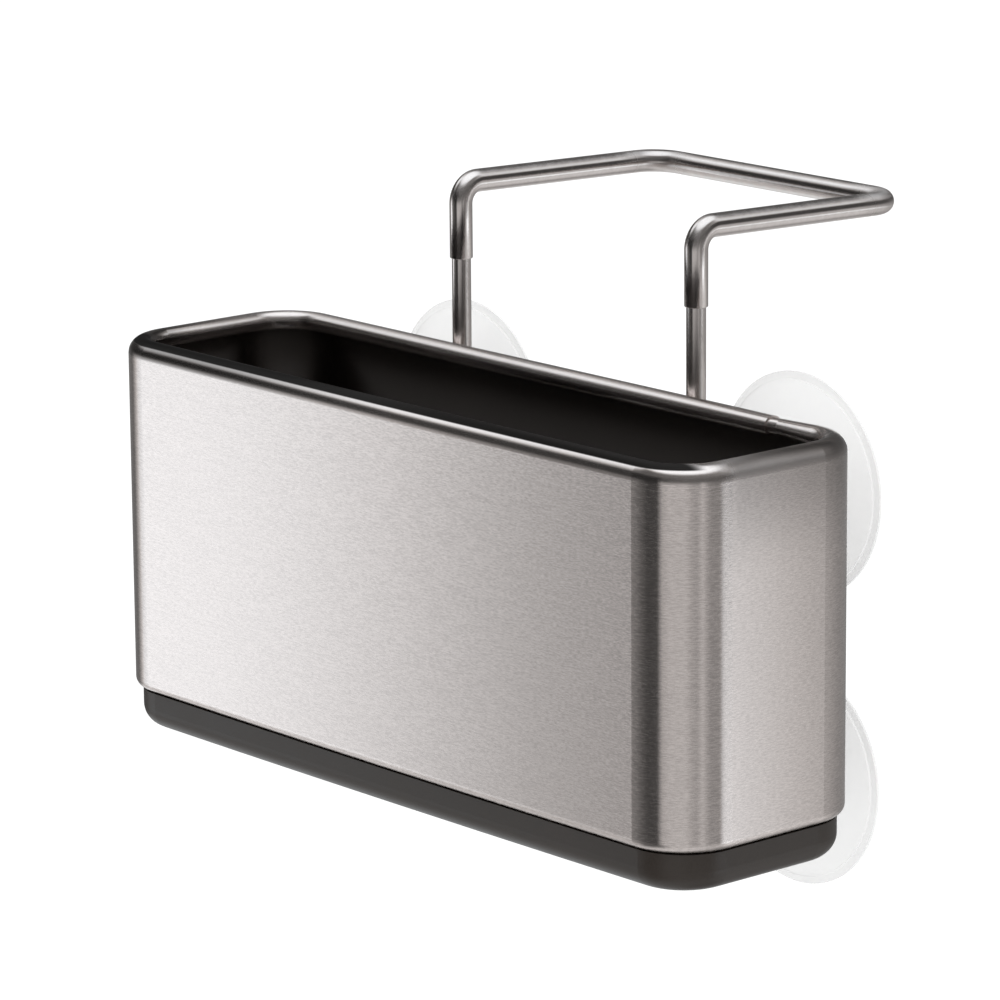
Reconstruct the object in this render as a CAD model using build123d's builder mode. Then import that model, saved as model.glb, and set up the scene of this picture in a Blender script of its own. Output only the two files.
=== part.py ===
from build123d import *
import math
import os

os.makedirs("parts", exist_ok=True)

# Frame: origin on the sink wall, in the middle of the four suction cups.
# +X runs along the body, +Y points into the wall and +Z up.

# Steel wrap
body_width = 223.0
body_depth = 64.2
body_height = 94.0
corner_radius = 17.0
front_bow = 0.7
sheet = 0.5

# Rolled rim and curled hem of the wrap
shoulder_radius = 4.2
bead_diameter = 5.0
bead_curl_angle = 190.0
hem_radius = 2.5
hem_width = 6.0

# Lap seam in the back wall
seam_share = 0.626
seam_lap = 5.0
seam_joggle = 2.8

# Plastic base
base_drop = 10.7
base_inset = 1.9
base_edge_radius = 5.7
base_floor = 2.2
base_wall = 1.6
base_floor_bevel = 1.5
shadow_gap = 0.5
seat_inset = 4.2
spigot_height = 12.0
spigot_clearance = 0.25
spigot_lead = 0.6
grip_rib_height = 0.2
grip_rib_width = 3.0
grip_rib_pitch = 60.0
grip_rib_count = 3
grip_rib_stop = 2.0
slot_length = 22.0
slot_width = 3.0
slot_pitch_x = 36.0
slot_pitch_y = 20.0
slot_columns = 5
slot_rows = 2
floor_rib_height = 1.6
floor_rib_width = 1.4
floor_rib_margin = 12.0

# Suction cups
cup_pitch_x = 126.5
cup_pitch_z = 74.5
cup_top_to_rim = 23.8
cup_radius = 28.6
cup_reach = 13.25
lip_edge = 0.7
lip_width = 2.0
lip_step = 0.6
lip_land = 2.8
cup_wall = 2.3
cup_hub_radius = 8.5
cup_hub_length = 2.5
cup_flare_radius = 9.6
cup_sag_share = 0.06
cup_crown_radius = 7.0
neck_radius = 3.7
neck_clearance = 0.1
neck_play = 0.1
head_radius = 5.2
head_tip_radius = 3.6
head_length = 3.1
head_rim = 1.2

# Brackets behind the back wall
bracket_plate = 2.2
bracket_wall = 2.0
bracket_rib = 1.6
bracket_corner = 6.0
bracket_edge = 1.0
cup_margin = 11.0
guide_length = 24.0
guide_clearance = 0.06
guide_slot = 3.6
channel_half = 4.6
channel_clearance = 0.4

# Rivets
rivet_inset = 9.0
rivet_above_hem = 12.45
rivet_below_guide = 4.05
rivet_radius = 1.6
rivet_clearance = 0.05
rivet_boss_radius = 3.6
rivet_head_radius = 3.2
rivet_head_height = 1.1
rivet_head_bevel = 0.5
rivet_tail_radius = 2.6
rivet_tail_height = 0.9
rivet_recess = 1.2
rivet_recess_radius = 2.9

# Loop, posts and stop pins
tube_radius = 3.0
tube_wall = 0.5
tube_end_bevel = 0.2
leg_bend = 5.5
hoop_bend = 8.0
post_pitch = 89.6
wall_clearance = 0.4
post_chamfer = 0.4
loop_above_rim = 40.9
loop_reach = 69.2
loop_drop = 1.85
leg_length = 19.9
post_insert = 9.5
rise = 30.0
stop_gap = 1.0
post_tail = 4.0
pin_radius = 1.0
pin_overhang = 1.6
pin_chamfer = 0.2

# Sizes that follow from those above
overrun = 1.0
bead_radius = bead_diameter / 2
post_radius = tube_radius - tube_wall
post_stand_off = post_radius + wall_clearance
hollow_depth = post_stand_off + post_radius + channel_clearance
bracket_depth = hollow_depth + bracket_plate
stand_off = bracket_depth + cup_reach
back_y = -stand_off
front_y = back_y - body_depth
mid_y = back_y - body_depth / 2
rim_z = cup_pitch_z / 2 + cup_top_to_rim
steel_z = rim_z - body_height
base_z = steel_z - base_drop
corner_x = body_width / 2 - corner_radius
corner_back_y = back_y - corner_radius
corner_front_y = front_y + corner_radius
bow_radius = (corner_x**2 + front_bow**2) / (2 * front_bow)
bow_lean = math.degrees(math.asin(corner_x / (bow_radius - corner_radius)))
bow_centre_y = corner_front_y + (bow_radius - corner_radius) * math.cos(math.radians(bow_lean))
cup_x = cup_pitch_x / 2
cup_z = cup_pitch_z / 2
rivet_x = cup_x - rivet_inset
seam_x = rivet_x + seam_share * (corner_x - rivet_x)
post_x = post_pitch / 2
post_y = back_y + post_stand_off
loop_z = rim_z + loop_above_rim
leg_end_z = loop_z - leg_length
bracket_top_z = cup_z + cup_margin
guide_end_z = bracket_top_z - guide_length
pin_z = guide_end_z - stop_gap - rise - pin_radius
post_end_z = pin_z - post_tail
post_top_z = leg_end_z + post_insert
loop_back_y = post_y + loop_reach


# Outline of the body seen from above, moved in by an inset, run clockwise
# from the right end of the back edge to a chosen x on the same edge.
def outline(inset, end_x):
    radius = corner_radius - inset
    back_right = CenterArc((corner_x, corner_back_y), radius, 90, -90)
    front_right = CenterArc((corner_x, corner_front_y), radius, 0, bow_lean - 90)
    Line(back_right @ 1, front_right @ 0)
    front = CenterArc((0, bow_centre_y), bow_radius - inset, bow_lean - 90, -2 * bow_lean)
    front_left = CenterArc((-corner_x, corner_front_y), radius, 270 - bow_lean, bow_lean - 90)
    back_left = CenterArc((-corner_x, corner_back_y), radius, 180, -90)
    Line(front_left @ 1, back_left @ 0)
    Line(back_left @ 1, (end_x, back_y - inset))
    return front


def plan_face(inset, mode=Mode.ADD):
    with BuildLine() as edge:
        outline(inset, corner_x)
    make_face(edge.edges(), mode=mode)


# Section of the sheet, from the curled hem up over a wide shoulder and down
# into the rolled bead inside. set_in is how far the sheet stands inside the
# outer face, and slim is how much smaller its rounded top is.
def sheet_section(set_in, slim):
    shoulder = shoulder_radius - slim
    bead = bead_radius - slim
    crown_in = set_in + shoulder
    shoulder_centre = (crown_in, body_height - shoulder_radius)
    bead_centre = (crown_in, body_height - bead_radius)
    with BuildLine() as section:
        hem_out = CenterArc((hem_radius, hem_radius), hem_radius - set_in, 180, 90)
        hem_in = CenterArc((hem_radius, hem_radius), hem_radius - set_in - sheet, 180, 90)
        over = CenterArc(shoulder_centre, shoulder, 180, -90)
        under = CenterArc(bead_centre, bead, 90, -bead_curl_angle)
        lining = CenterArc(shoulder_centre, shoulder - sheet, 180, -90)
        curl = CenterArc(bead_centre, bead - sheet, 90, -bead_curl_angle)
        Line(hem_out @ 0, over @ 0)
        Line(hem_in @ 0, lining @ 0)
        Line(under @ 1, curl @ 1)
        Line(hem_out @ 1, (hem_width, set_in))
        Line(hem_in @ 1, (hem_width, set_in + sheet))
        Line((hem_width, set_in), (hem_width, set_in + sheet))
    make_face(section.edges())


# Plane across the back wall at a given x, its own x axis pointing inwards
def back_plane(x):
    return Plane(origin=(x, back_y, steel_z), x_dir=(0, -1, 0), z_dir=(-1, 0, 0))


# Plane of the back wall's outer face, seen from the front
back_face = Plane(origin=(0, back_y, 0), x_dir=(1, 0, 0), z_dir=(0, -1, 0))

# Places of the rivets, on both sides
rivet_low_z = steel_z + rivet_above_hem
rivet_high_z = guide_end_z - rivet_below_guide
rivet_places = [(side * rivet_x, level) for side in (-1, 1) for level in (rivet_low_z, rivet_high_z)]

# Steel wrap: the sheet runs round the body and laps itself in the back wall.
# The end under the lap is joggled in and its bead is one sheet smaller, and
# between the joggle and the corner the bead grows to its full size again.
with BuildPart() as body_shell:
    with BuildLine(Plane.XY.offset(steel_z)) as wrap_path:
        outline(0, seam_x)
    with BuildSketch(back_plane(corner_x)):
        sheet_section(0, 0)
    sweep(path=wrap_path.wire())
    with BuildSketch(back_plane(corner_x)):
        sheet_section(0, 0)
    with BuildSketch(back_plane(seam_x + seam_joggle)):
        sheet_section(0, sheet)
    loft(ruled=True)
    with BuildSketch(back_plane(seam_x + seam_joggle)):
        sheet_section(0, sheet)
    with BuildSketch(back_plane(seam_x)):
        sheet_section(sheet, sheet)
    loft(ruled=True)
    with BuildSketch(back_plane(seam_x)):
        sheet_section(sheet, sheet)
    extrude(amount=seam_lap)
    with BuildSketch(back_face):
        with Locations(*rivet_places):
            Circle(rivet_radius + rivet_clearance)
    extrude(amount=sheet + overrun, mode=Mode.SUBTRACT)
body_shell.part.label = "body_shell"
export_step(body_shell.part, "parts/body_shell.step")

# Base: a tray whose spigot stands inside the hem. Its lower edge is well
# rounded, and a lowered border leaves the shadow gap under the steel.
spigot_inset = hem_width + spigot_clearance
cavity_inset = spigot_inset + base_wall
floor_z = base_z + base_floor
with BuildPart() as base_tray:
    with BuildSketch(Plane.XY.offset(base_z)):
        plan_face(base_inset)
    extrude(amount=base_drop - shadow_gap)
    fillet(base_tray.edges().group_by(Axis.Z)[0], radius=base_edge_radius)
    with BuildSketch(Plane.XY.offset(steel_z - shadow_gap)):
        plan_face(seat_inset)
    extrude(amount=shadow_gap)
    with BuildSketch(Plane.XY.offset(steel_z)):
        plan_face(spigot_inset)
    extrude(amount=spigot_height)
    chamfer(base_tray.edges().group_by(Axis.Z)[-1], length=spigot_lead)

    # Low upright ribs that grip the edge of the hem
    with BuildSketch(Plane.XY.offset(steel_z)):
        with Locations((0, mid_y)):
            with GridLocations(grip_rib_pitch, 0, grip_rib_count, 1):
                Rectangle(grip_rib_width, body_depth + 2 * front_bow)
            Rectangle(body_width, grip_rib_width)
        plan_face(spigot_inset - grip_rib_height, mode=Mode.INTERSECT)
    extrude(amount=spigot_height - grip_rib_stop)

    # Hollow, with a bevelled foot to its walls
    with BuildSketch(Plane.XY.offset(floor_z)):
        plan_face(cavity_inset)
    extrude(amount=base_drop + spigot_height, mode=Mode.SUBTRACT)
    chamfer(base_tray.edges().filter_by_position(Axis.Z, floor_z, floor_z), length=base_floor_bevel)

    # Drain slots and the ribs that keep what is stored off the floor
    with BuildSketch(Plane.XY.offset(floor_z)):
        with Locations((0, mid_y - slot_pitch_y), (0, mid_y), (0, mid_y + slot_pitch_y)):
            Rectangle(body_width - 2 * (cavity_inset + floor_rib_margin), floor_rib_width)
    extrude(amount=floor_rib_height)
    with BuildSketch(Plane.XY.offset(base_z)):
        with Locations((0, mid_y)):
            with GridLocations(slot_pitch_x, slot_pitch_y, slot_columns, slot_rows):
                SlotOverall(slot_length, slot_width)
    extrude(amount=base_floor, mode=Mode.SUBTRACT)
base_tray.part.label = "base_tray"
export_step(base_tray.part, "parts/base_tray.step")

# Loop: one bent tube, two upright legs and a flat hoop that reaches back and
# falls a little towards its far bar
with BuildPart() as hanging_loop:
    with BuildLine() as loop_path:
        FilletPolyline(
            (-post_x, post_y, leg_end_z),
            (-post_x, post_y, loop_z),
            (-post_x, loop_back_y, loop_z - loop_drop),
            (post_x, loop_back_y, loop_z - loop_drop),
            (post_x, post_y, loop_z),
            (post_x, post_y, leg_end_z),
            radius=(leg_bend, hoop_bend, hoop_bend, leg_bend),
        )
    with BuildSketch(Plane.XY.offset(leg_end_z)):
        with Locations((-post_x, post_y)):
            Circle(tube_radius)
            Circle(post_radius, mode=Mode.SUBTRACT)
    sweep(path=loop_path.wire())
    tube_mouths = hanging_loop.faces().filter_by(Axis.Z).sort_by(Axis.Z)[:2]
    chamfer([edge for mouth in tube_mouths for edge in mouth.outer_wire().edges()], length=tube_end_bevel)
hanging_loop.part.label = "hanging_loop"
export_step(hanging_loop.part, "parts/hanging_loop.step")

# Posts, pressed into the legs of the loop, each with a cross pin near its foot
for name, side in (("left", -1), ("right", 1)):
    with BuildPart() as post:
        with BuildSketch(Plane.XY.offset(post_end_z)):
            with Locations((side * post_x, post_y)):
                Circle(post_radius)
        extrude(amount=post_top_z - post_end_z)
        chamfer(post.faces().filter_by(Axis.Z).edges(), length=post_chamfer)
        with BuildSketch(Plane.YZ.offset(side * post_x)):
            with Locations((post_y, pin_z)):
                Circle(pin_radius)
        extrude(amount=post_radius + overrun, both=True, mode=Mode.SUBTRACT)
    post.part.label = f"post_{name}"
    export_step(post.part, f"parts/post_{name}.step")

    with BuildPart() as stop_pin:
        with BuildSketch(Plane.YZ.offset(side * post_x)):
            with Locations((post_y, pin_z)):
                Circle(pin_radius)
        extrude(amount=post_radius + pin_overhang, both=True)
        chamfer(stop_pin.faces().filter_by(Axis.X).edges(), length=pin_chamfer)
    stop_pin.part.label = f"stop_pin_{name}"
    export_step(stop_pin.part, f"parts/stop_pin_{name}.step")

# Brackets: moulded boxes, open to the back wall of the wrap. The post runs in a
# channel of its own under a guide block, and the plate behind carries two cups.
bracket_near_x = post_x - channel_half - bracket_wall
bracket_far_x = cup_x + cup_margin
bracket_width = bracket_far_x - bracket_near_x
bracket_mid_x = (bracket_near_x + bracket_far_x) / 2
rib_span = bracket_far_x - post_x - channel_half
for name, side in (("left", -1), ("right", 1)):
    side_places = [place for place in rivet_places if place[0] * side > 0]
    with BuildPart() as bracket:
        with BuildSketch(back_face):
            with Locations((side * bracket_mid_x, 0)):
                RectangleRounded(bracket_width, 2 * bracket_top_z, bracket_corner)
        extrude(amount=-bracket_depth)
        chamfer(bracket.faces().sort_by(Axis.Y)[-1].edges(), length=bracket_edge)
        with BuildSketch(back_face):
            with Locations((side * bracket_mid_x, 0)):
                RectangleRounded(
                    bracket_width - 2 * bracket_wall,
                    2 * (bracket_top_z - bracket_wall),
                    bracket_corner - bracket_wall,
                )
        extrude(amount=-hollow_depth, mode=Mode.SUBTRACT)

        # Guide block, channel rib, rivet bosses and their cross ribs
        with BuildSketch(back_face):
            with Locations((side * post_x, bracket_top_z - guide_length / 2 - bracket_wall / 2)):
                Rectangle(2 * channel_half, guide_length - bracket_wall)
            with Locations((side * (post_x + channel_half + bracket_rib / 2), 0)):
                Rectangle(bracket_rib, 2 * bracket_top_z - bracket_wall)
            with Locations(*side_places):
                Circle(rivet_boss_radius)
            for place in side_places:
                with Locations((side * (bracket_far_x - rib_span / 2 - bracket_wall / 2), place[1])):
                    Rectangle(rib_span - bracket_wall, bracket_rib)
        extrude(amount=-hollow_depth)

        # Bore of the guide, open to the wall by a slot narrower than the post
        with BuildSketch(Plane.XY.offset(guide_end_z)):
            with Locations((side * post_x, post_y)):
                Circle(post_radius + guide_clearance)
            with Locations((side * post_x, (back_y - overrun + post_y) / 2)):
                Rectangle(guide_slot, post_stand_off + overrun)
        extrude(amount=guide_length + overrun, mode=Mode.SUBTRACT)

        # Holes for the necks of the cups and for the rivets
        with BuildSketch(back_face):
            with Locations((side * cup_x, cup_z), (side * cup_x, -cup_z)):
                Circle(neck_radius + neck_clearance)
            with Locations(*side_places):
                Circle(rivet_radius + rivet_clearance)
        extrude(amount=-bracket_depth, mode=Mode.SUBTRACT)
        with BuildSketch(back_face.offset(-bracket_depth)):
            with Locations(*side_places):
                Circle(rivet_recess_radius)
        extrude(amount=rivet_recess, mode=Mode.SUBTRACT)
    bracket.part.label = f"bracket_{name}"
    export_step(bracket.part, f"parts/bracket_{name}.step")

# Rivets: a low bevelled head inside the wrap, a shank through sheet and boss, and a
# tail set down in the recess of the bracket
grip_length = sheet + bracket_depth - rivet_recess
inner_face = back_face.offset(sheet)
with BuildPart() as bracket_rivets:
    with BuildSketch(inner_face):
        with Locations(*rivet_places):
            Circle(rivet_head_radius)
    extrude(amount=rivet_head_height)
    chamfer(bracket_rivets.edges().group_by(Axis.Y)[0], length=rivet_head_bevel)
    with BuildSketch(inner_face):
        with Locations(*rivet_places):
            Circle(rivet_radius)
    extrude(amount=-grip_length)
    with BuildSketch(inner_face.offset(-grip_length)):
        with Locations(*rivet_places):
            Circle(rivet_tail_radius)
    extrude(amount=-rivet_tail_height)
bracket_rivets.part.label = "bracket_rivets"
export_step(bracket_rivets.part, "parts/bracket_rivets.step")

# Suction cups: a flared skirt with a thin lip, a short hub, and a neck and head
# that snap through the plate of the bracket
crown_depth = cup_reach - cup_hub_length - cup_wall
flare_depth = cup_reach - cup_hub_length
neck_end = cup_reach + bracket_plate + neck_play
land_radius = cup_radius - lip_land
step_radius = cup_radius - lip_width
step_depth = lip_edge + lip_step
flare_sag = cup_sag_share * (step_radius - cup_flare_radius)
for name, side, level in (
    ("upper_left", -1, 1),
    ("upper_right", 1, 1),
    ("lower_left", -1, -1),
    ("lower_right", 1, -1),
):
    centre = (side * cup_x, 0, level * cup_z)
    with BuildPart() as suction_cup:
        with BuildSketch(Plane(origin=centre, x_dir=(1, 0, 0), z_dir=(0, 0, -1))):
            with BuildLine():
                Polyline(
                    (0, crown_depth),
                    (cup_crown_radius, crown_depth),
                    (land_radius, 0),
                    (cup_radius, 0),
                    (cup_radius, lip_edge),
                    (step_radius, lip_edge),
                    (step_radius, step_depth),
                    ((step_radius + cup_flare_radius) / 2, (step_depth + flare_depth) / 2 - flare_sag),
                    (cup_flare_radius, flare_depth),
                    (cup_hub_radius, flare_depth + cup_flare_radius - cup_hub_radius),
                    (cup_hub_radius, cup_reach),
                    (neck_radius, cup_reach),
                    (neck_radius, neck_end),
                    (head_radius, neck_end),
                    (head_radius, neck_end + head_rim),
                    (head_tip_radius, neck_end + head_length),
                    (0, neck_end + head_length),
                    (0, crown_depth),
                )
            make_face()
        revolve(axis=Axis(centre, (0, -1, 0)))
    suction_cup.part.label = f"suction_cup_{name}"
    export_step(suction_cup.part, f"parts/suction_cup_{name}.step")
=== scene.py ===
import math

import bmesh
import bpy
from mathutils import Matrix, Vector


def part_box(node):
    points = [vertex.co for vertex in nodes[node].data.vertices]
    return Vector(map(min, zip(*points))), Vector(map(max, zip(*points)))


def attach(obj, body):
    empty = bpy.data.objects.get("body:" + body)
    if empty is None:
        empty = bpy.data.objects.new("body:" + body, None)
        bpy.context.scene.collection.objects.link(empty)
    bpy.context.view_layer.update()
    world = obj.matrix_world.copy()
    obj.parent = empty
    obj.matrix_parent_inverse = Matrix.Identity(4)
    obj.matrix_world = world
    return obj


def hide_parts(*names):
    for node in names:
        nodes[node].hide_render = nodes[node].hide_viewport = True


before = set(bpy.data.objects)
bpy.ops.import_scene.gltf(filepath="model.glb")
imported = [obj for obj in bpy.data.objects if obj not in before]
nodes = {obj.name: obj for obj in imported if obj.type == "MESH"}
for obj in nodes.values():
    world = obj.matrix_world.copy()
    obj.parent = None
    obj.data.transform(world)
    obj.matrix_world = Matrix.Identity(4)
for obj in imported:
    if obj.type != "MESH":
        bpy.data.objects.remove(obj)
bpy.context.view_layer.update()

scene = bpy.context.scene


# Node helpers
def add(tree, kind, inputs=None, **settings):
    made = tree.nodes.new(kind)
    for key, value in settings.items():
        setattr(made, key, value)
    for key, value in (inputs or {}).items():
        if isinstance(value, bpy.types.NodeSocket):
            tree.links.new(value, made.inputs[key])
        else:
            made.inputs[key].default_value = value
    return made


def math_node(tree, operation, *values, clamp=False):
    inputs = dict(enumerate(values))
    return add(tree, "ShaderNodeMath", inputs, operation=operation, use_clamp=clamp).outputs[0]


def times(tree, first, second):
    return math_node(tree, "MULTIPLY", first, second)


def mix_colour(tree, factor, first, second):
    made = add(tree, "ShaderNodeMix", data_type="RGBA")
    for index, value in ((0, factor), (6, first), (7, second)):
        if isinstance(value, bpy.types.NodeSocket):
            tree.links.new(value, made.inputs[index])
        elif index:
            made.inputs[index].default_value = (*value, 1)
        else:
            made.inputs[index].default_value = value
    return made.outputs[2]


def mix_value(tree, factor, first, second):
    made = add(tree, "ShaderNodeMix", {0: factor, 2: first, 3: second}, data_type="FLOAT")
    return made.outputs[0]


def smooth_range(tree, value, low, high, to_low=0.0, to_high=1.0):
    inputs = {0: value, 1: low, 2: high, 3: to_low, 4: to_high}
    made = add(tree, "ShaderNodeMapRange", inputs, interpolation_type="SMOOTHSTEP")
    return made.outputs[0]


# A noise whose grains per metre are given along each axis
def stretched_noise(tree, point, stretch, detail=3.0, roughness=0.6):
    scaled = add(tree, "ShaderNodeVectorMath", {0: point, 1: stretch}, operation="MULTIPLY")
    inputs = {"Vector": scaled.outputs[0], "Scale": 1.0, "Detail": detail, "Roughness": roughness}
    return add(tree, "ShaderNodeTexNoise", inputs).outputs[0]


# The middle of a noise's range, which its tones and its roughness are spread over
tone_spread, wide_spread = (0.35, 0.65), (0.3, 0.7)


def two_scales(tree, first, second, share):
    return math_node(tree, "ADD", times(tree, first, share), times(tree, second, 1.0 - share))


def new_material(name):
    material = bpy.data.materials.new(name)
    material.use_nodes = True
    tree = material.node_tree
    tree.nodes.clear()
    output = tree.nodes.new("ShaderNodeOutputMaterial")
    shader = tree.nodes.new("ShaderNodeBsdfPrincipled")
    tree.links.new(shader.outputs[0], output.inputs[0])
    point = tree.nodes.new("ShaderNodeTexCoord")
    return material, tree, shader, point


def bump(tree, shader, height, strength, distance):
    inputs = {"Strength": strength, "Distance": distance, "Height": height}
    tree.links.new(add(tree, "ShaderNodeBump", inputs).outputs[0], shader.inputs["Normal"])


def dress(material, *names):
    for name in names:
        slots = nodes[name].data.materials
        slots.clear()
        slots.append(material)


# Steel wrap: brushed level in short fine dashes that run round the body. The
# rounded rim is smooth. It has painted shade towards the left, and the right side
# has painted shade near it. The top of its front run is dull and has a painted
# dark reflection; the inner faces are dull and darkened with painted shade. The
# ends of the body are very slightly crowned.
low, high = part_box("body_shell")
front_y, mid_y, rim_z = low[1], (low[1] + high[1]) / 2, high[2]
fine_grain, long_grain, fine_share = (700.0, 700.0, 3900.0), (170.0, 170.0, 2500.0), 0.7
steel_tones = (0.590, 0.537, 0.513), (0.813, 0.739, 0.706)
inner_painted_shade, crest_painted_reflection = (0.25, 0.222, 0.208), (0.04, 0.036, 0.034)
# Tone of the painted shade on the rim's left end and on the right side near the rim
shade_tone = (0.02, 0.019, 0.018)
satin_rough, dull_rough = (0.19, 0.23), 0.5
rim_rough, front_rim_rough, side_rim_rough = 0.19, 0.12, 0.30
rim_smoothing, left_shade, side_shade = 0.8, 0.62, 0.42
grain_depth, crown_radius, crown_half_width = 0.0000009, 0.375, 0.0151
# Each fade goes from none at its first value to full at its second
rim_fade = rim_z - 0.0046, rim_z - 0.0036
below_rim_fade = rim_z - 0.0048, rim_z - 0.0053
inward_fade = -0.004, -0.012
front_run_fade = front_y + 0.0125, front_y + 0.0085
facing_up_fade = 0.72, 0.79
polish_fade = front_y + 0.030, front_y + 0.012
left_fade = 0.020, -0.075
side_fade = 0.099, 0.106
past_corner_fade = front_y + 0.010, front_y + 0.022
upper_side_fade = rim_z - 0.0300, rim_z

steel, tree, shader, point = new_material("brushed_steel")
place = point.outputs["Object"]
x, y, z = add(tree, "ShaderNodeSeparateXYZ", {0: place}).outputs
facing = add(tree, "ShaderNodeSeparateXYZ", {0: point.outputs["Normal"]}).outputs
from_mid = math_node(tree, "SUBTRACT", y, mid_y)

rim = smooth_range(tree, z, *rim_fade)
# Painted shade on the inner faces below the rim, which are also dull
outward = math_node(tree, "ADD", times(tree, x, facing[0]), times(tree, from_mid, facing[1]))
inward = smooth_range(tree, outward, *inward_fade)
inside_shade_and_dull = times(tree, inward, smooth_range(tree, z, *below_rim_fade))
# Painted dark reflection on the top of the rim's front run, which is also dull
facing_up = times(tree, smooth_range(tree, facing[2], *facing_up_fade), rim)
painted_dark_dull_crest = times(tree, smooth_range(tree, y, *front_run_fade), facing_up)
polished = smooth_range(tree, y, *polish_fade)
# Painted shade on the rim towards the left, and on the right side near the rim
to_left = smooth_range(tree, x, *left_fade, 0.0, left_shade)
shaded = times(tree, times(tree, to_left, polished), rim)
on_side = smooth_range(tree, x, *side_fade)
to_side = times(tree, on_side, smooth_range(tree, y, *past_corner_fade))
dimmed = times(tree, to_side, smooth_range(tree, z, *upper_side_fade, 0.0, side_shade))

fine = stretched_noise(tree, place, fine_grain, 1.0)
long = stretched_noise(tree, place, long_grain, 2.0)
grain = two_scales(tree, fine, long, fine_share)
grain = mix_value(tree, times(tree, rim, rim_smoothing), grain, 0.5)
colour = mix_colour(tree, smooth_range(tree, grain, *wide_spread), *steel_tones)
# Painted shade: the inner faces below the rim are darkened
colour = mix_colour(tree, inside_shade_and_dull, colour, inner_painted_shade)
# Painted dark reflection on the top of the rim's front run
colour = mix_colour(tree, painted_dark_dull_crest, colour, crest_painted_reflection)
# Painted shade: the rim towards the left and the right side near the rim
colour = mix_colour(tree, math_node(tree, "MAXIMUM", shaded, dimmed), colour, shade_tone)
tree.links.new(colour, shader.inputs["Base Color"])

along_rim = mix_value(tree, polished, rim_rough, front_rim_rough)
along_rim = mix_value(tree, to_side, along_rim, side_rim_rough)
satin = smooth_range(tree, grain, *wide_spread, *satin_rough)
rough = mix_value(tree, rim, satin, along_rim)
rough = mix_value(tree, painted_dark_dull_crest, rough, dull_rough)
tree.links.new(mix_value(tree, inside_shade_and_dull, rough, dull_rough), shader.inputs["Roughness"])
shader.inputs["Metallic"].default_value = 1.0
shader.inputs["Anisotropic"].default_value = 1.0
shader.inputs["Anisotropic Rotation"].default_value = 0.25
around = add(tree, "ShaderNodeTangent", direction_type="RADIAL", axis="Z").outputs[0]
tree.links.new(around, shader.inputs["Tangent"])

# The crown falls as a circle near the middle of each end, then straight
reach = math_node(tree, "ABSOLUTE", from_mid)
curved = math_node(tree, "MINIMUM", reach, crown_half_width)
fall = times(tree, curved, math_node(tree, "SUBTRACT", reach, times(tree, curved, 0.5)))
crown = times(tree, fall, -1 / crown_radius)
bump(tree, shader, math_node(tree, "MULTIPLY_ADD", grain, grain_depth, crown), 1.0, 1.0)
dress(steel, "body_shell")

# Tube steel: satin, polished round and round, so that its shine is drawn out
# along the tube, with faint specks and a slow haze. The far bends are duller.
# The corners of the route lie a little above the top of the bent tube.
low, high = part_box("hanging_loop")
tube_radius, tube_wall, tube_bevel, loop_drop = 0.0030, 0.0005, 0.0002, 0.00185
leg_bend, hoop_bend, bend_rise = 0.0055, 0.0080, 0.00015
leg_x, leg_y = high[0] - tube_radius, low[1] + tube_radius
far_y, top_z = high[1] - tube_radius, high[2] - tube_radius + bend_rise
haze_size, speck_size, haze_share = (420.0,) * 3, (2600.0,) * 3, 0.6
tube_tones = (0.655, 0.605, 0.580), (0.715, 0.662, 0.636)
tube_rough, bend_rough, bend_fade = (0.15, 0.185), 0.28, (0.018, 0.009)


def satin_tube(name, **grain):
    made, tree, shader, point = new_material(name)
    place = point.outputs["Object"]
    haze = stretched_noise(tree, place, haze_size, 3.0)
    specks = stretched_noise(tree, place, speck_size, 2.0)
    tone = two_scales(tree, haze, specks, haze_share)
    colour = mix_colour(tree, smooth_range(tree, tone, *tone_spread), *tube_tones)
    tree.links.new(colour, shader.inputs["Base Color"])
    x, y, z = add(tree, "ShaderNodeSeparateXYZ", {0: place}).outputs
    half = add(tree, "ShaderNodeCombineXYZ", {0: math_node(tree, "ABSOLUTE", x), 1: y}).outputs[0]
    inputs = {0: half, 1: (leg_x, far_y, 0.0)}
    from_bend = add(tree, "ShaderNodeVectorMath", inputs, operation="DISTANCE").outputs["Value"]
    rough = smooth_range(tree, tone, *wide_spread, *tube_rough)
    rough = mix_value(tree, smooth_range(tree, from_bend, *bend_fade), rough, bend_rough)
    tree.links.new(rough, shader.inputs["Roughness"])
    shader.inputs["Metallic"].default_value = 1.0
    shader.inputs["Anisotropic"].default_value = 1.0
    tree.links.new(add(tree, "ShaderNodeTangent", **grain).outputs[0], shader.inputs["Tangent"])
    bump(tree, shader, specks, 0.04, 0.00003)
    return made, shader


upright, shader = satin_tube("satin_post", direction_type="RADIAL", axis="Z")
shader.inputs["Anisotropic Rotation"].default_value = 0.25
dress(upright, "post_left", "post_right", "stop_pin_left", "stop_pin_right")
bent, shader = satin_tube("satin_loop", direction_type="UV_MAP", uv_map="along")
dress(bent, "hanging_loop")


# Loop: the same bent tube as the solid, with round bends instead of facets. A
# support point just before and after each bend keeps the straight runs straight.
def bent_path(corners, radii, steps=18, support=0.0002):
    points = [Vector(corners[0])]
    for index, radius in enumerate(radii, 1):
        before, at, after = (Vector(corners[index + step]) for step in (-1, 0, 1))
        first, second = (before - at).normalized(), (after - at).normalized()
        half = first.angle(second) / 2
        centre = at + (first + second).normalized() * (radius / math.sin(half))
        start = at + first * (radius / math.tan(half)) - centre
        axis = first.cross(second).normalized()
        turned = -(math.pi - 2 * half)
        turns = [Matrix.Rotation(turned * step / steps, 3, axis) for step in range(steps + 1)]
        arc = [centre + turn @ start for turn in turns]
        points += [arc[0] + first * support, *arc, arc[-1] + second * support]
    return points + [Vector(corners[-1])]


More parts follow.
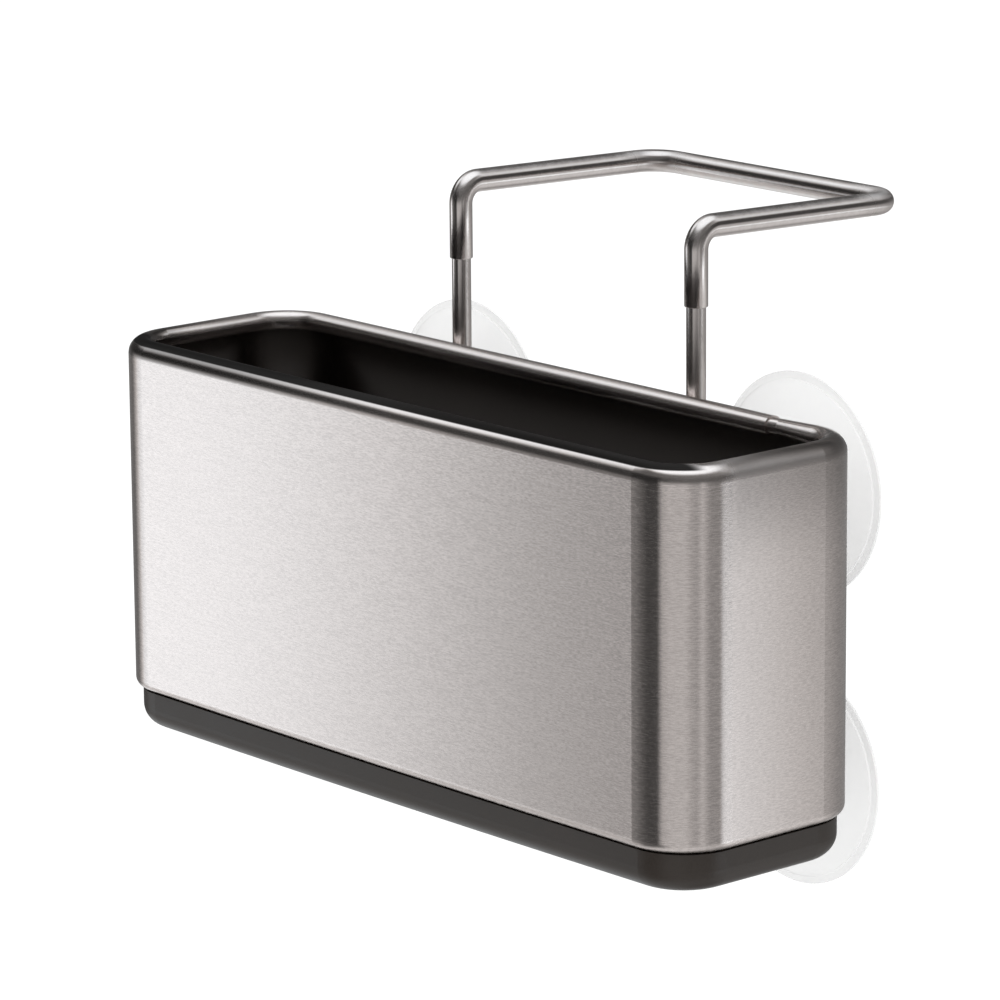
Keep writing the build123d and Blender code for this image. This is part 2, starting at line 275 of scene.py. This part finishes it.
def swept_tube(name, points, outer, inner, bevel, sides=48):
    made = bmesh.new()
    ways = [(after - before).normalized() for before, after in zip(points, points[1:])]
    ways = [ways[0], *((one + two).normalized() for one, two in zip(ways, ways[1:])), ways[-1]]
    across = ways[0].orthogonal().normalized()
    frames = []
    for way in ways:
        across = (across - way * across.dot(way)).normalized()
        frames.append((across, way.cross(across)))

    def ring_at(index, radius, shift=0.0):
        one, two = frames[index]
        centre = points[index] + ways[index] * shift
        angles = [2 * math.pi * side / sides for side in range(sides)]
        spokes = [one * math.cos(angle) + two * math.sin(angle) for angle in angles]
        return [made.verts.new(centre + spoke * radius) for spoke in spokes]

    last = len(points) - 1
    rings = [ring_at(0, outer - bevel), ring_at(0, outer, bevel)]
    rings += [ring_at(index, outer) for index in range(1, last)]
    rings += [ring_at(last, outer, -bevel), ring_at(last, outer - bevel)]
    rings += [ring_at(index, inner) for index in range(last, -1, -1)]
    rings.append(rings[0])
    along = made.loops.layers.uv.new("along")
    for step, (one, two) in enumerate(zip(rings, rings[1:])):
        for side in range(sides):
            beside = (side + 1) % sides
            face = made.faces.new((one[side], one[beside], two[beside], two[side]))
            face.smooth = True
            places = (step, side), (step, side + 1), (step + 1, side + 1), (step + 1, side)
            for corner, (u, v) in zip(face.loops, places):
                corner[along].uv = (u / len(rings), v / sides)
    for index in (0, last + 2, -2):
        for vert in rings[index]:
            for edge in vert.link_edges:
                if edge.other_vert(vert) in rings[index]:
                    edge.smooth = False
    bmesh.ops.recalc_face_normals(made, faces=made.faces)
    mesh = bpy.data.meshes.new(name)
    made.to_mesh(mesh)
    made.free()
    piece = bpy.data.objects.new(name, mesh)
    scene.collection.objects.link(piece)
    return piece


half_loop = [(leg_x, leg_y, low[2]), (leg_x, leg_y, top_z), (leg_x, far_y, top_z - loop_drop)]
corners = [(-x, y, z) for x, y, z in half_loop] + half_loop[::-1]
path = bent_path(corners, (leg_bend, hoop_bend, hoop_bend, leg_bend))
loop = swept_tube("loop_tube", path, tube_radius, tube_radius - tube_wall, tube_bevel)
loop.data.materials.append(bent)
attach(loop, "arm")
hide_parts("hanging_loop")


# Moulded plastics: a fine spark-eroded grain over a faint mottle
def plastic(name, tones, rough):
    made, tree, shader, point = new_material(name)
    place = point.outputs["Object"]
    skin = stretched_noise(tree, place, (3200.0,) * 3, 2.0, 0.5)
    mottle = stretched_noise(tree, place, (90.0,) * 3, 3.0)
    mixed = two_scales(tree, skin, mottle, 0.5)
    colour = mix_colour(tree, smooth_range(tree, mixed, *tone_spread), *tones)
    tree.links.new(colour, shader.inputs["Base Color"])
    satin = smooth_range(tree, mixed, *tone_spread, *rough)
    tree.links.new(satin, shader.inputs["Roughness"])
    bump(tree, shader, skin, 0.18, 0.00006)
    return made, shader


base_tones = (0.027, 0.0205, 0.0165), (0.036, 0.0280, 0.0230)
base, shader = plastic("base_plastic", base_tones, (0.33, 0.40))
shader.inputs["Specular IOR Level"].default_value = 0.38
dress(base, "base_tray")
bracket_tones = (0.046, 0.043, 0.041), (0.060, 0.056, 0.052)
mould, shader = plastic("bracket_plastic", bracket_tones, (0.46, 0.58))
dress(mould, "bracket_left", "bracket_right")

# Rivets: turned aluminium
rivet_tones, rivet_rough = ((0.62, 0.62, 0.62), (0.76, 0.76, 0.76)), (0.28, 0.4)
metal, tree, shader, point = new_material("rivet_metal")
turned = stretched_noise(tree, point.outputs["Object"], (3000.0, 300.0, 3000.0), 2.0)
colour = mix_colour(tree, smooth_range(tree, turned, *tone_spread), *rivet_tones)
tree.links.new(colour, shader.inputs["Base Color"])
satin = smooth_range(tree, turned, *wide_spread, *rivet_rough)
tree.links.new(satin, shader.inputs["Roughness"])
shader.inputs["Metallic"].default_value = 1.0
bump(tree, shader, turned, 0.08, 0.00004)
dress(metal, "bracket_rivets")

# Suction cups: milky soft plastic, thin enough to see through
cup_tones, cup_rough = ((0.94, 0.94, 0.935), (0.97, 0.97, 0.965)), (0.36, 0.48)
soft, tree, shader, point = new_material("frosted_cup")
place = point.outputs["Object"]
cloud = stretched_noise(tree, place, (70.0,) * 3, 3.0)
frost = stretched_noise(tree, place, (2400.0,) * 3, 2.0)
colour = mix_colour(tree, smooth_range(tree, cloud, *tone_spread), *cup_tones)
tree.links.new(colour, shader.inputs["Base Color"])
satin = smooth_range(tree, frost, *wide_spread, *cup_rough)
tree.links.new(satin, shader.inputs["Roughness"])
shader.inputs["IOR"].default_value = 1.47
shader.inputs["Alpha"].default_value = 0.31
bump(tree, shader, frost, 0.1, 0.00005)
cups = [f"suction_cup_{level}_{side}" for level in ("upper", "lower") for side in ("left", "right")]
dress(soft, *cups)

# World: a soft studio, white behind the object. Metal mirrors the floor, the
# table, cards, a dark band and soft boxes, each given as tones by compass
# direction, and one large soft box overhead. The brightest are a little cooler.
world = bpy.data.worlds.new("studio")
scene.world = world
world.use_nodes = True
world.cycles.sampling_method = "NONE"
tree = world.node_tree
tree.nodes.clear()
ray = add(tree, "ShaderNodeLightPath").outputs
generated = add(tree, "ShaderNodeTexCoord").outputs["Generated"]
x, y, z = add(tree, "ShaderNodeSeparateXYZ", {0: generated}).outputs
compass = math_node(tree, "ARCTAN2", times(tree, x, -1.0), times(tree, y, -1.0))
share = math_node(tree, "MULTIPLY_ADD", compass, 1 / (2 * math.pi), 0.5)
height = times(tree, math_node(tree, "ARCSINE", z), 180.0 / math.pi)


# A ring of tones: each is a compass direction in degrees and its tone
def ring(tones, brightest=1.6):
    made = add(tree, "ShaderNodeValToRGB", {0: share})
    made.color_ramp.interpolation = "LINEAR"
    stops = made.color_ramp.elements
    while len(stops) > 1:
        stops.remove(stops[-1])
    stops[0].position = 0.0
    stops[0].color = (tones[0][1] / brightest,) * 3 + (1,)
    for angle, tone in tones[1:]:
        stop = stops.new((angle + 180.0) / 360.0)
        stop.color = (tone / brightest,) * 3 + (1,)
    return times(tree, made.outputs[0], brightest)


under = ring([
    (-180, 0.30), (-150, 0.35), (-115, 0.70), (-90, 0.80), (90, 0.80), (115, 0.75), (150, 0.35),
    (180, 0.30),
])
table = ring([
    (-180, 0.40), (-169, 0.60), (-155, 0.80), (-138, 0.85), (-126, 0.80), (-105, 0.55), (-80, 0.55),
    (-50, 0.60), (-20, 0.55), (-6, 0.20), (0, 0.10), (35, 0.12), (46, 0.40), (52, 0.62),
    (75, 0.70), (88, 0.85), (105, 1.00), (135, 0.85), (150, 0.60), (165, 0.45), (180, 0.40),
])
cards = ring([
    (-180, 0.32), (-155, 0.40), (-141, 0.46), (-136.2, 0.62), (-133.8, 0.74), (-130.5, 0.90),
    (-128, 0.90), (-122, 0.45), (-104, 0.30), (-88, 0.30), (-81, 0.46), (-74, 0.70), (-65, 0.42),
    (-56, 0.50), (-47, 0.70), (-20, 0.72), (-11, 0.66), (-6.5, 0.38), (-2.5, 0.06), (14, 0.06),
    (42, 0.26), (46.4, 0.31), (48.4, 0.52), (50.2, 0.90), (52.0, 1.34), (53.6, 1.62), (58, 1.60),
    (66, 1.20), (76, 0.55), (86, 0.17), (180, 0.32),
], 1.7)
band = ring([
    (-180, 0.15), (-135, 0.08), (-130, 0.02), (-110, 0.12), (-49, 0.14), (-10, 0.08), (0, 0.03),
    (40, 0.03), (48, 0.05), (75, 0.05), (98, 0.08), (126, 0.14), (145, 0.10), (180, 0.15),
])
boxes = ring([
    (-180, 0.22), (-172, 0.30), (-161, 0.52), (-152, 0.95), (-146, 1.30), (-139, 1.25),
    (-133, 0.60), (-126, 0.30), (-90, 0.20), (-20, 0.16), (40, 0.12), (52, 0.20), (58, 0.60),
    (64, 1.25), (80, 1.38), (90, 1.08), (97, 0.82), (108, 0.52), (118, 0.34), (128, 0.16),
    (150, 0.06), (170, 0.10), (180, 0.22),
])

# The cards are brighter at their feet, and a narrow strip stands low on one side
feet = ring([
    (-180, 0.0), (-145, 0.10), (-137, 0.28), (-128, 0.30), (-120, 0.10), (40, 0.0), (48, 0.14),
    (60, 0.14), (75, 0.0), (180, 0.0),
])
strip = ring([
    (-180, 0.0), (-131.5, 0.0), (-127, 1.60), (-119, 2.60), (-112, 2.20), (-108.2, 1.00),
    (-105, 0.0), (180, 0.0),
], 2.6)
feet_fade, strip_fade = (-12.0, -19.0), (-17.5, -21.0)
feet_gain, feet_start = 1.4, -0.25
at_feet = smooth_range(tree, height, *feet_fade)
lean = math_node(tree, "MULTIPLY_ADD", at_feet, feet_gain, feet_start)
cards = math_node(tree, "ADD", cards, times(tree, feet, lean))
narrow = times(tree, strip, smooth_range(tree, height, *strip_fade))
cards = math_node(tree, "ADD", cards, narrow)

# From the bottom up, each ring fades into the next between two heights in degrees
overhead = 1.5
steps_up = [
    ((-62.0, -48.0), table), ((-31.0, -22.0), cards), ((-8.5, 7.0), band), ((24.0, 33.0), boxes),
    ((50.0, 62.0), overhead),
]
shine = under
for fade, above in steps_up:
    shine = mix_value(tree, smooth_range(tree, height, *fade), shine, above)
white, cool_white, cool_fade = (1.0, 1.0, 1.0), (0.935, 1.0, 1.05), (0.6, 1.35)
cool = mix_colour(tree, smooth_range(tree, shine, *cool_fade), white, cool_white)
mirrored = add(tree, "ShaderNodeVectorMath", {0: cool, 3: shine}, operation="SCALE").outputs[0]
soft_light, rise = (0.90, 1.12), (-0.6, 0.8)
plain = smooth_range(tree, z, *rise, *soft_light)
is_clear = math_node(tree, "MAXIMUM", ray["Is Camera Ray"], ray["Is Transmission Ray"])
tone = mix_colour(tree, ray["Is Glossy Ray"], plain, mirrored)
tone = mix_colour(tree, is_clear, tone, white)
sky = add(tree, "ShaderNodeBackground", {"Color": tone, "Strength": 1.0})
add(tree, "ShaderNodeOutputWorld", {0: sky.outputs[0]})

# Floor: a wide pale plane well below the object, lit as it stands, and lifted to
# white for the camera so that only a shadow shows on it. From below it is clear.
floor_size, floor_z, floor_lift = 30.0, -0.30, 0.3
floor_tones = (0.74, 0.74, 0.74), (0.76, 0.76, 0.76)
bpy.ops.mesh.primitive_plane_add(size=floor_size, location=(0.0, 0.0, floor_z))
floor = bpy.context.object
floor.name = "floor"
paper, tree, shader, point = new_material("floor_paper")
shader.inputs["Roughness"].default_value = 0.9
shader.inputs["Specular IOR Level"].default_value = 0.1
fibre = stretched_noise(tree, point.outputs["Object"], (8.0,) * 3, 2.0)
tree.links.new(mix_colour(tree, fibre, *floor_tones), shader.inputs["Base Color"])
ray = add(tree, "ShaderNodeLightPath").outputs
lift = add(tree, "ShaderNodeEmission", {"Color": (1, 1, 1, 1), "Strength": floor_lift})
seen = add(tree, "ShaderNodeAddShader", {0: shader.outputs[0], 1: lift.outputs[0]})
inputs = {0: ray["Is Camera Ray"], 1: shader.outputs[0], 2: seen.outputs[0]}
body = add(tree, "ShaderNodeMixShader", inputs)
passed = math_node(tree, "MAXIMUM", ray["Is Glossy Ray"], ray["Is Transmission Ray"])
behind = add(tree, "ShaderNodeNewGeometry").outputs["Backfacing"]
passed = math_node(tree, "MAXIMUM", passed, behind)
clear = add(tree, "ShaderNodeBsdfTransparent")
whole = add(tree, "ShaderNodeMixShader", {0: passed, 1: body.outputs[0], 2: clear.outputs[0]})
out = next(item for item in tree.nodes if item.bl_idname == "ShaderNodeOutputMaterial")
tree.links.new(whole.outputs[0], out.inputs[0])
floor.data.materials.append(paper)

# Camera at the photograph's angle
azimuth = math.radians(49.29)
elevation = math.radians(13.21)
roll = math.radians(-0.438)
distance = 1.33333
target = Vector((0.01052, -0.05335, 0.03252))
level = math.cos(elevation)
direction = Vector((math.sin(azimuth) * level, -math.cos(azimuth) * level, math.sin(elevation)))
lens = bpy.data.cameras.new("camera")
lens.sensor_width = 36.0
lens.lens = 191.93
lens.clip_start = 0.05
lens.clip_end = 60.0
camera = bpy.data.objects.new("camera", lens)
scene.collection.objects.link(camera)
camera.matrix_world = (
    Matrix.Translation(target + distance * direction)
    @ Matrix.Rotation(azimuth, 4, "Z")
    @ Matrix.Rotation(math.pi / 2 - elevation, 4, "X")
    @ Matrix.Rotation(roll, 4, "Z")
)
scene.camera = camera

scene.view_settings.view_transform = "Standard"
